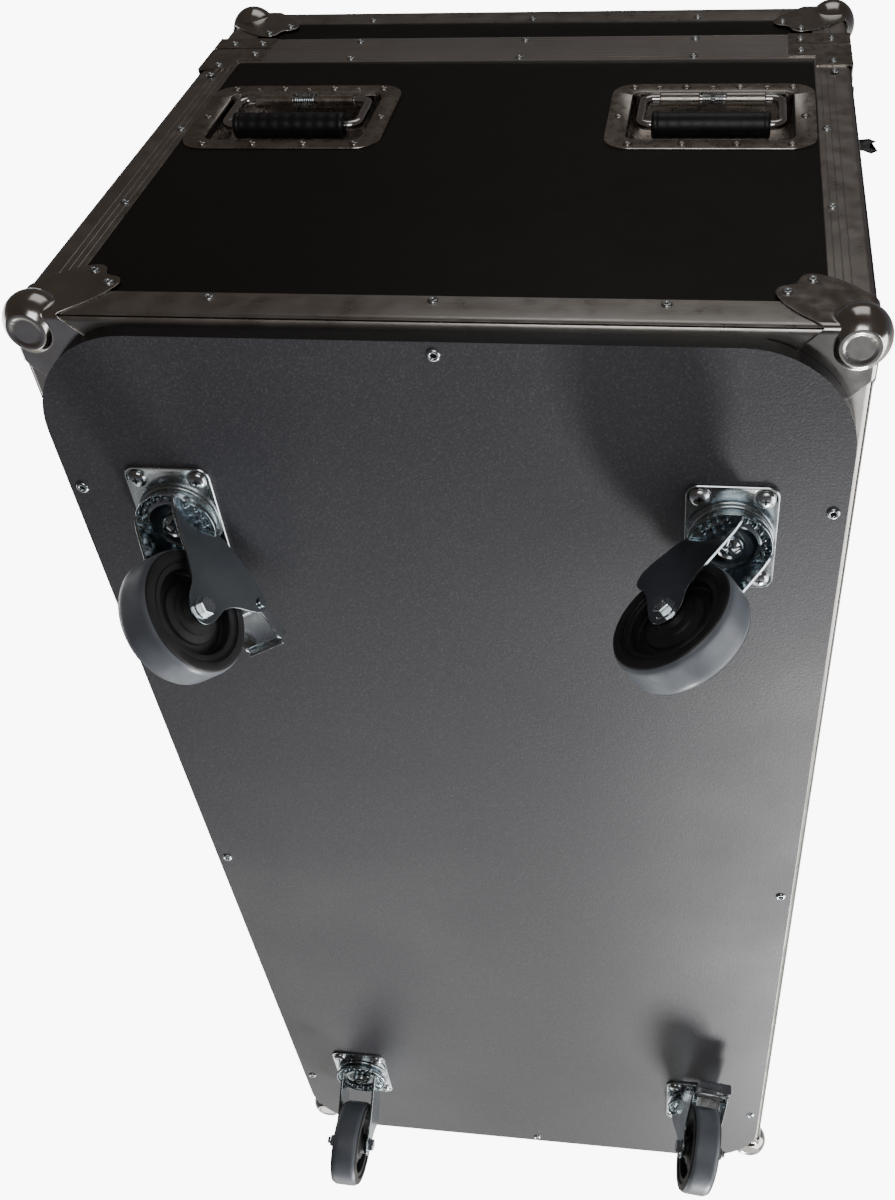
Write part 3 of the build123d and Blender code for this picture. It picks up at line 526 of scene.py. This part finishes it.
def fork_leg(has_brake):
    """Side outline: under the crown, down the front, round the axle and up the back."""
    x, z = trail, -drop
    front = [(-20, -7.8), (-25, -17), (x - 18, z + 18), (x - 14, z - 4), (x - 6, z - 13)]
    back = [(x + 7, z - 13), (x + 14, z - 2), (x + 17, z + 26), (x + 29, z + 40), (x + 22, z + 54)]
    if has_brake:
        back = [(x + 7, z - 13), (x + 14, z - 2), (x + 18, z + 20), (x + 50, z + 40), (x + 51, z + 54)]
        back.append((x + 20, z + 66))
    return soft_outline(front + back + [(26, -7.8)])


crown_profile = [(10.9, -7.6), (27.0, -7.6), (30.2, -8.0), (31.4, -9.4), (31.4, -12.6), (30.6, -13.2)]
crown_profile += [(29.8, -12.6), (29.4, -10.8), (26.6, -9.8), (24.0, -9.7), (22.6, -10.6), (20.6, -10.9)]
crown = revolved(crown_profile + [(18.6, -9.9), (14.8, -9.5), (10.9, -9.5)], 80)
ball = revolved([(0, -2.1), (0.3, -2.1), (1.5, -1.5), (2.1, 0), (1.5, 1.5), (0.3, 2.1), (0, 2.1)], 12)
turns = [2 * math.pi * k / ball_count for k in range(ball_count)]
balls = [moved(ball, (ball_circle * math.cos(a), ball_circle * math.sin(a), -10.6)) for a in turns]
for name, j in swivels.items():
    top_centre = (j["pos_m"][0] * 1000, j["pos_m"][1] * 1000, board_z)
    hub = np.array(joints["spin_" + name]["pos_m"]) * 1000
    ahead = (hub[0] - top_centre[0], hub[1] - top_centre[1], 0)
    parts = [moved(crown, top_centre)] + [moved(p, top_centre, ahead) for p in balls]
    for y in (-21.5, 19.0):
        leg = plate(fork_leg(name in braked), y, y + leg_sheet)
        parts.append(moved(leg, top_centre, ahead))
    if name in braked:
        across = np.cross((0, 0, 1), ahead) / trail
        pin = np.array(joints["brake_" + name]["pos_m"]) * 1000
        for stops, radius in (((-22.4, -21.9, 21.9, 22.4), 2.5), ((-23.6, -22.0), 4.2), ((22.0, 23.6), 4.2)):
            parts.append(tube([pin + across * s for s in stops], radius, 20))
    make("fork_" + name, parts, "castor_" + name, [plated], ["castor_fork_" + name], bevel=0.5)

# Axles: zinc plated hex bolt and nut through the fork legs, with washers and a threaded end.
# The shaft lies along the wheel's spin axis.
leg_face, thread_turns, thread_pitch = 21.5, 20, 0.28


def hexagon(radius):
    a = np.linspace(0, 2 * np.pi, 7)[:-1]
    return radius * np.stack([np.cos(a), np.sin(a)], -1)


head = lofted([(hexagon(r), h) for r, h in ((7.5, 0.9), (7.5, 5.2), (6.7, 6.0))])
washer = revolved([(3.9, 0.0), (8.4, 0.0), (8.6, 0.4), (8.4, 0.9), (3.9, 0.9)], 40)
ridges = [(4.0 if k % 2 else 3.6, 4 + k * thread_pitch) for k in range(thread_turns)]
thread = revolved([(0, -1), (0.1, -1)] + ridges + [(0.1, 10), (0, 10)], 24)
shaft = revolved([(0, -45), (0.1, -45), (4, -45), (4, 2), (0.1, 2), (0, 2)], 24)
for name in swivels:
    spin = joints["spin_" + name]
    hub, axis = np.array(spin["pos_m"]) * 1000, np.array(spin["axis"])
    parts = []
    for s, members in ((-1, [head, washer]), (1, [head, washer, thread, shaft])):
        parts += [moved(p, hub + s * axis * leg_face, (0, 0, 1), s * axis) for p in members]
    make("axle_bolt_" + name, parts, "castor_" + name, [zinc], ["castor_axle_" + name], sharp=30)

# Wheels: dark moulded core with a stepped hub recess, and a grey non marking tread bonded on.
# The tread's side bands are dark like the core.
nylon = finish("wheel_nylon")
vary(nylon, "Base Color", 40.0, (0.011, 0.011, 0.012), (0.025, 0.025, 0.027))
vary(nylon, "Roughness", 90.0, 0.42, 0.6, 0.75)
grain(nylon, 700.0, 0.2, 0.0002)
tread = finish("tread_grey")
vary(tread, "Base Color", 35.0, (0.115, 0.128, 0.150), (0.165, 0.182, 0.210))
vary(tread, "Roughness", 160.0, 0.30, 0.48, 0.75)
grain(tread, 900.0, 0.15, 0.0002)
hub_steps = [(4.06, 18.3), (9.6, 18.3), (10.8, 17.4), (12.4, 13.4), (17.8, 12.2), (18.6, 10.4)]
web_steps = [(24.0, 8.8), (24.8, 6.4), (30.5, 5.0), (32.2, 5.2), (33.2, 6.2), (34.0, 13.2), (34.8, 14.0)]
rim_steps = [(38.2, 14.3), (38.6, 13.7), (39.1, 13.7), (39.5, 14.3), (41, 14.3)]
half = hub_steps + web_steps + rim_steps
core = revolved(half + [(r, -h) for r, h in half[::-1]], 96)
side = [(41.02, 12), (41.02, 15.6), (46.3, 15.9), (47.6, 15.3), (48.2, 14.2), (47.6, 12)]
side_bands = [revolved([(r, s * h) for r, h in side], 96) for s in (-1, 1)]
crowned = [(49.95 - 2.0 * abs(t) ** 8, 14.3 * t) for t in np.linspace(-1, 1, 13)]
band = revolved([(41.04, -11.9), (47.9, -14.1)] + crowned + [(47.9, 14.1), (41.04, 11.9)], 96)
for name in swivels:
    spin = joints["spin_" + name]
    hub, axis = np.array(spin["pos_m"]) * 1000, spin["axis"]
    wheel = "wheel_" + name
    parts = [moved(core, hub, (0, 0, 1), axis)]
    make("core_" + name, parts, wheel, [nylon], ["wheel_core_" + name], sharp=30)
    parts = [moved(band, hub, (0, 0, 1), axis)]
    parts += [(*moved(p, hub, (0, 0, 1), axis), 1) for p in side_bands]
    make("tread_" + name, parts, wheel, [tread, nylon], ["wheel_tyre_" + name], sharp=30)

# Brake pedals: bright zinc channels on a pin between the fork legs, with a shoe towards the tread.
# The foot end is turned down, with a rolled rim on both sides.
tray_points = [(3, -1.2), (3, 1.2), (33, 1.2), (34.4, -1), (34.4, -9.8), (36, -11.5), (34.6, -12.4)]
tray = soft_outline(tray_points + [(32.4, -10.8), (32.4, -1.4)], 1)
ear = soft_outline([(-4.5, -4.5), (-4.5, 4), (3, 5), (33, 1.2), (33.5, -9), (27, -11), (14, -5)], 2)
a = np.linspace(0, 2 * np.pi, 25)[:-1]
sleeve = 4.6 * np.stack([np.cos(a), np.sin(a)], -1)
shoe_end, shoe_turn = 50.8, math.radians(20)
for name in braked:
    kingpin_x, kingpin_y = (v * 1000 for v in swivels[name]["pos_m"][:2])
    hub = np.array(joints["spin_" + name]["pos_m"]) * 1000
    ahead = hub - np.array([kingpin_x, kingpin_y, hub[2]])
    pin = np.array(joints["brake_" + name]["pos_m"]) * 1000
    gap = hub - pin
    aim = math.atan2(gap[2], float(gap @ ahead) / trail) + shoe_turn
    reach = float(np.linalg.norm(gap)) - shoe_end
    u, v = np.array([math.cos(aim), math.sin(aim)]), np.array([-math.sin(aim), math.cos(aim)])
    shoe = np.array([-2 * v, reach * u - 1.3 * v, reach * u + 1.3 * v, 2 * v])
    parts = [plate(tray, -18.2, 18.2), plate(ear, -18.3, -16.3), plate(ear, 16.3, 18.3)]
    parts += [plate(shoe, -14, 14), plate(sleeve, -18.3, 18.3)]
    parts = [moved(p, pin, ahead) for p in parts]
    make("pedal_" + name, parts, "pedal_" + name, [zinc], ["brake_pedal_" + name], bevel=0.5)

# Recessed handles: pressed steel dishes riveted into the end panels, with a raised top strip,
# rolled barrels at the top of the recess and a wound return spring between them.
handles = {n[7:]: j for n, j in joints.items() if n.startswith("handle_")}
dish_drop, dish_stand, dish_sheet, strip_rise = 38.0, 0.8, 1.0, 1.5
barrel_at, barrel_length = 28, 17
dish_rings = [(172.4, 126.4, 21, 0.0), (173, 127, 21.3, 0.6), (172.4, 126.4, 21, 1.2), (160, 114, 16, 1.25),
              (141, 97, 11, 1.3), (138.4, 94.4, 10, 0.9), (136.6, 92.6, 9.5, -1.2), (135, 91, 9, -12),
              (133.6, 89.6, 9, -21.0), (128, 84, 9, -23.2), (100, 60, 8, -23.8), (40, 20, 6, -23.8)]
rivet_spots = [(u, 55.5) for u in (-68, -23, 23, 68)] + [(u, -55.5) for u in (-66, -22, 22, 66)]
rivet_spots += [(-77.5, -2), (77.5, -2)]


def dish_surface():
    """Rounded rectangle loops from the flange rim over the lip and down the wall to the floor."""
    p = np.array([np.column_stack([np.full(52, h), rounded(w, t, r, 12)]) for w, t, r, h in dish_rings])
    p[1:6, :, 0] += strip_rise * smooth_step((p[1:6, :, 2] - 37) / 2.5)
    return p


def dish_shell():
    """The dish surface with a second one behind it, and the slab that fills its floor."""
    front = dish_surface()
    back = front[2:].copy()
    back[..., 0] -= dish_sheet
    back[1:, :, 1:] *= 1.012
    wall = grid_part(np.concatenate([front, back[::-1][:-1]]), close_u=True, close_v=True)
    return wall, capped(np.array([front[-1], front[-1] - [dish_sheet, 0, 0]]))


def coil(radius, wire, length, turns):
    """x = radius cos t, z = radius sin t, y runs evenly from end to end."""
    t = np.linspace(0, 2 * np.pi * turns, int(turns * 20))
    y = np.linspace(-length / 2, length / 2, len(t))
    return tube(np.stack([radius * np.cos(t), y, radius * np.sin(t)], -1), wire, 8)


rivet_profile = [(0, 0), (0.1, 0), (4.0, 0), (4.0, 0.4), (3.3, 1.3), (2.0, 1.7), (1.3, 1.2)]
dish_rivet = revolved(rivet_profile + [(0.1, 1.1), (0, 1.1)], 24)
dimple_profile = [(0, 0), (0.1, 0), (1.7, 0), (2.1, 0.25), (2.9, 0.35), (3.1, 0), (3.1, -1), (0, -1)]
dimple = revolved(dimple_profile, 20)
barrel = revolved([(4.1, -17), (5.3, -17), (6.0, -16.2), (6.0, 16.2), (5.3, 17), (4.1, 17)], 32)
lug = plate(soft_outline([(0, 6.0), (-22.6, 6.0), (-22.6, 4.2), (0, 4.2)], 1), -barrel_length, barrel_length)
for label, s in (("right", 1), ("left", -1)):
    parts = []
    for name, j in handles.items():
        if not name.startswith(label):
            continue
        x, y, z = (v * 1000 for v in j["pos_m"])
        centre = np.array([x + s * dish_stand, y, z - dish_drop])
        parts += [moved(p, centre, (s, 0, 0)) for p in dish_shell()]
        for u, w in rivet_spots:
            lift = 1.25 + (strip_rise if w > 40 else 0)
            parts.append(moved(dish_rivet, centre + np.array([s * lift, s * u, w]), (0, 1, 0), (s, 0, 0)))
        for u in (-46, 0, 46):
            parts.append(moved(dimple, centre + np.array([s * 2.75, s * u, 54.5]), (0, 1, 0), (s, 0, 0)))
        for u in (-barrel_at, barrel_at):
            parts.append(moved(barrel, (x, y + u, z), (1, 0, 0), (0, 1, 0)))
            parts.append(moved(lug, (x, y + s * u, z), (s, 0, 0)))
    make("handle_dish_" + label, parts, "case", [fittings], ["handle_dishes_" + label], sharp=40)
places = [[v * 1000 for v in j["pos_m"]] for j in handles.values()]
parts = [moved(coil(5.3, 0.7, 19, 9.5), at) for at in places]
make("handle_return_springs", parts, "case", [zinc], ["handle_springs"])

# Handle bails: bright steel rod bent to a U, its ends in the barrels, with a moulded rubber grip.
# The grip is ribbed finely between two end collars.
bail_half, bail_drop, bail_bend, rod_radius = 59.0, 53.0, 9.0, 4.0
steel = finish("bright_steel", metallic=1.0)
steel.node_tree.nodes["Principled BSDF"].inputs["Base Color"].default_value = (0.72, 0.72, 0.73, 1)
vary(steel, "Roughness", 120.0, 0.09, 0.22, 0.75)
grain(steel, 600.0, 0.05, 0.0001)
rubber = finish("grip_rubber", 0.42)
vary(rubber, "Base Color", 60.0, (0.007, 0.007, 0.008), (0.015, 0.015, 0.017))
grain(rubber, 1100.0, 0.3, 0.0002)


def bail_path():
    """Inner end, out to the corner arc, down the leg, round the lower arc and along to the middle."""
    a = np.linspace(0, np.pi / 2, 9)
    r, out, down = bail_bend, bail_half - bail_bend, bail_drop - bail_bend
    half = [(1.5, 0), (20, 0), (42, 0)] + [(out + r * np.sin(t), -r + r * np.cos(t)) for t in a]
    half += [(bail_half, -20), (bail_half, -34)] + [(out + r * np.cos(t), -down - r * np.sin(t)) for t in a]
    half = np.array(half + [(30, -bail_drop), (0.2, -bail_drop)])
    full = np.concatenate([half, (half * [-1, 1])[::-1]])
    return np.column_stack([np.zeros(len(full)), full])


collar = [(4.02, -49), (8.6, -49), (10.2, -48.4), (11, -47), (11, -44.5), (10.6, -43.8)]
ribs = [(10.7 + 0.15 * math.cos(k * 0.9), -43 + k * 86 / 60) for k in range(61)]
grip = revolved(collar + ribs + [(r, -h) for r, h in collar[::-1]], 40)
for name, j in handles.items():
    x, y, z = (v * 1000 for v in j["pos_m"])
    body = "handle_" + name
    parts = [moved(tube(bail_path(), rod_radius, 20), (x, y, z))]
    make("bail_" + name, parts, body, [steel], ["handle_bail_" + name], sharp=60)
    parts = [moved(grip, (x, y, z - bail_drop), (1, 0, 0), (0, 1, 0))]
    make("grip_" + name, parts, body, [rubber], ["handle_grip_" + name])

# Turn latches, keepers and hinges: pressed and plated steel, riveted on, in their CAD shapes.
# The turning parts are brighter than the dishes, and the hinge pins are bare steel.
paint(["latch_dishes"], fittings)
paint(["latch_cam_left", "latch_cam_right", "latch_wing_left", "latch_wing_right", "latch_keepers"], zinc)
paint(["hinge_body_leaves", "hinge_lid_leaves"], fittings)
paint(["hinge_pins"], steel)

# Foam lining: dark soft pads glued to the floor, the walls and under the lid, with eased edges.
# The front and end pads have a cut backing layer that clears the latch and handle dishes.
pad_deep, front_backing, end_backing, layer_gap = 22.0, 9.0, 15.6, 0.2
latch_notch_z, latch_notch_x = 505, (268, 392)
dish_notch_z, dish_notch_y = (425, 527), (107, 253)
foam = finish("foam_grey_and_pore_shade", 0.95)
tree = foam.node_tree
pores = tree.nodes.new("ShaderNodeTexVoronoi")
pores.inputs["Scale"].default_value = 420.0
tree.links.new(tree.nodes["Texture Coordinate"].outputs["Object"], pores.inputs["Vector"])
# The foam's own dark grey, darker towards each pore's centre: that darkening is painted shade in the pores.
pore_shade_stops = [(0.1, (0.010, 0.010, 0.011)), (0.6, (0.045, 0.045, 0.049))]
inputs = tree.nodes["Principled BSDF"].inputs
tree.links.new(ramp(tree, pores.outputs["Distance"], pore_shade_stops), inputs["Base Color"])
inputs["Sheen Weight"].default_value = 0.3
bump(foam, pores.outputs["Distance"], 0.6, 0.0015)


def pad(x0, x1, y0, y1, z0, z1, axis, crown=1.0):
    """Rounded box whose broad face swells by crown: each loop in from the rim rises as 1 - s^4.
    Known fault: the loops go 60 mm in, so on a face under 120 mm wide they cross over, and the four
    end strips beside the dish notches spread past their sides and out through the long panels."""
    span = np.array([x1 - x0, y1 - y0, z1 - z0])
    mid = np.array([x0 + x1, y0 + y1, z0 + z1]) / 2
    w, h = np.roll(span, -axis - 1)[:2]
    t = span[axis]
    rows = [(1, -t / 2), (0, -t / 2 + 1), (0, t / 2 - 5), (1.3, t / 2 - 2.2), (4.5, t / 2 - crown)]
    rows += [(d, t / 2 - crown * (1 - d / 60) ** 4) for d in (12, 24, 40, 60)]
    p, faces = lofted([(rounded(w - 2 * e, h - 2 * e, 6, 4), u) for e, u in rows])
    return np.roll(p, axis + 1, axis=1) + mid, faces


def mirrored(part, axis):
    p = part[0].copy()
    p[:, axis] *= -1
    return p, [face[::-1] for face in part[1]]


lo, hi = (np.array(v) * 1000 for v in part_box("body_foam_lining"))
x0, x1, y0, z0, z1 = lo[0] + 0.5, hi[0] - 0.5, lo[1], lo[2] + pad_deep, hi[2]
parts = [pad(x0, x1, lo[1] + 0.5, hi[1] - 0.5, lo[2], z0, 2)]
parts.append(mirrored(pad(x0, x1, y0, y0 + pad_deep, z0, z1, 1), 1))
parts.append(pad(x0, x1, y0 + front_backing + layer_gap, y0 + pad_deep, z0, z1, 1))
parts.append(pad(x0, x1, y0, y0 + front_backing, z0, latch_notch_z, 1, 0.1))
inner, outer = latch_notch_x
for a, b in ((x0, -outer), (-inner, inner), (outer, x1)):
    parts.append(pad(a, b, y0, y0 + front_backing, latch_notch_z + layer_gap, z1, 1, 0.1))
x0, y0, y1 = lo[0], lo[1] + pad_deep, hi[1] - pad_deep
x1 = x0 + end_backing
low, high = dish_notch_z
ends = [pad(x1 + layer_gap, x0 + pad_deep, y0, y1, z0, z1, 0, 0.6)]
ends += [pad(x0, x1, y0, y1, z0, low, 0, 0.1), pad(x0, x1, y0, y1, high, z1, 0, 0.1)]
inner, outer = dish_notch_y
for a, b in ((y0, -outer), (-inner, inner), (outer, y1)):
    ends.append(pad(x0, x1, a, b, low + layer_gap, high - layer_gap, 0, 0.1))
parts += ends + [mirrored(p, 0) for p in ends]
case_foam = make("case_foam_pads", parts, "case", [foam], ["body_foam_lining"])
lo, hi = (np.array(v) * 1000 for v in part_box("lid_foam_lining"))
points, faces = mirrored(pad(lo[0], hi[0], lo[1], hi[1], 0, pad_deep, 2), 2)
lid_pad = (points + np.array([0, 0, hi[2]]), faces)
lid_foam = make("lid_foam_pad", [lid_pad], "lid", [foam], ["lid_foam_lining"])

# Floor: a wide pale sheet that is clear from below, so the underside can be seen.
# It casts no shadow and no light of its own on the case.
mesh = bpy.data.meshes.new("floor")
mesh.from_pydata([(-9, -9, 0), (9, -9, 0), (9, 9, 0), (-9, 9, 0)], [], [(0, 1, 2, 3)])
floor = bpy.data.objects.new("floor", mesh)
bpy.context.scene.collection.objects.link(floor)
pale = finish("floor_pale", 0.8)
vary(pale, "Base Color", 2.0, 0.76, 0.82)
tree = pale.node_tree
clear = tree.nodes.new("ShaderNodeBsdfTransparent")
facing = tree.nodes.new("ShaderNodeNewGeometry").outputs["Backfacing"]
blend = tree.nodes.new("ShaderNodeMixShader")
tree.links.new(facing, blend.inputs["Fac"])
tree.links.new(tree.nodes["Principled BSDF"].outputs["BSDF"], blend.inputs[1])
tree.links.new(clear.outputs["BSDF"], blend.inputs[2])
tree.links.new(blend.outputs["Shader"], tree.nodes["Material Output"].inputs["Surface"])
mesh.materials.append(pale)
floor.visible_shadow = floor.visible_glossy = floor.visible_diffuse = False

# World: plain white behind the case; as light it is bright towards the far end and dim near.
# The brightness is laid along one slanting direction.
world = bpy.data.worlds.new("studio")
bpy.context.scene.world = world
world.use_nodes = True
tree = world.node_tree
way = tree.nodes.new("ShaderNodeTexCoord").outputs["Generated"]
along = tree.nodes.new("ShaderNodeVectorMath")
along.operation = "DOT_PRODUCT"
along.inputs[1].default_value = (-0.8, 0.1, 0.1)
tree.links.new(way, along.inputs[0])
spread = tree.nodes.new("ShaderNodeMapRange")
spread.inputs["From Min"].default_value = -0.6
spread.inputs["From Max"].default_value = 0.8
tree.links.new(along.outputs["Value"], spread.inputs["Value"])
near_far = [(0.0, (0.060, 0.048, 0.040)), (0.32, (0.060, 0.050, 0.043)), (0.6, (0.12, 0.12, 0.14)),
            (0.8, (0.46, 0.46, 0.43)), (1.0, (1.0, 1.0, 0.93))]
lighting = tree.nodes["Background"]
tree.links.new(ramp(tree, spread.outputs["Result"], near_far), lighting.inputs["Color"])
seen = tree.nodes.new("ShaderNodeBackground")
seen.inputs["Color"].default_value = (1, 1, 1, 1)
seen.inputs["Strength"].default_value = 9.0
blend = tree.nodes.new("ShaderNodeMixShader")
tree.links.new(tree.nodes.new("ShaderNodeLightPath").outputs["Is Camera Ray"], blend.inputs["Fac"])
tree.links.new(lighting.outputs["Background"], blend.inputs[1])
tree.links.new(seen.outputs["Background"], blend.inputs[2])
tree.links.new(blend.outputs["Shader"], tree.nodes["World Output"].inputs["Surface"])

# Lights: soft square ones. Four lie low round the underside, and one each is over the top,
# beyond the near end and in front.
for name, at, aim, size, power in (
    ("far_low", (-2.1, 0.75, -1.35), (-0.3, 0, 0.13), 0.5, 56),
    ("far_left_low", (-2.4, -0.9, -1.2), (-0.4, 0, 0.13), 1.2, 9),
    ("near_low", (1.85, 0.3, -1.1), (0.7, 0, 0.15), 1.0, 9),
    ("right_low", (-0.4, 2.1, -0.55), (0.0, 0.3, 0.14), 2.2, 60),
    ("top_soft", (-1.4, -1.6, 3.2), (0, 0, 0.4), 2.4, 80),
    ("end_warm", (3.2, 0.3, 2.0), (0.6, 0, 0.5), 2.0, 9),
    ("front_soft", (-0.6, -3.0, 1.2), (0, 0, 0.4), 2.0, 40),
):
    data = bpy.data.lights.new(name, "AREA")
    data.size, data.energy = size, power
    lamp = bpy.data.objects.new(name, data)
    lamp.location = at
    lamp.rotation_euler = (Vector(aim) - Vector(at)).to_track_quat("-Z", "Y").to_euler()
    bpy.context.scene.collection.objects.link(lamp)

# Camera: below the near end, looking up along the underside.
# Its frame is built from the way it looks and the way that is up.
data = bpy.data.cameras.new("camera")
data.lens, data.sensor_width = 38.14, 36.0
data.shift_x, data.shift_y = -0.0853, 0.0522
data.clip_start, data.clip_end = 0.05, 50
camera = bpy.data.objects.new("camera", data)
bpy.context.scene.collection.objects.link(camera)
forward = Vector((-0.7114, -0.1198, 0.6925)).normalized()
right = forward.cross(Vector((0.7010, -0.0497, 0.7114))).normalized()
turn = Matrix((right, right.cross(forward), -forward)).transposed().to_4x4()
camera.matrix_world = Matrix.Translation((1.0618, 0.1962, -0.6010)) @ turn
bpy.context.scene.camera = camera
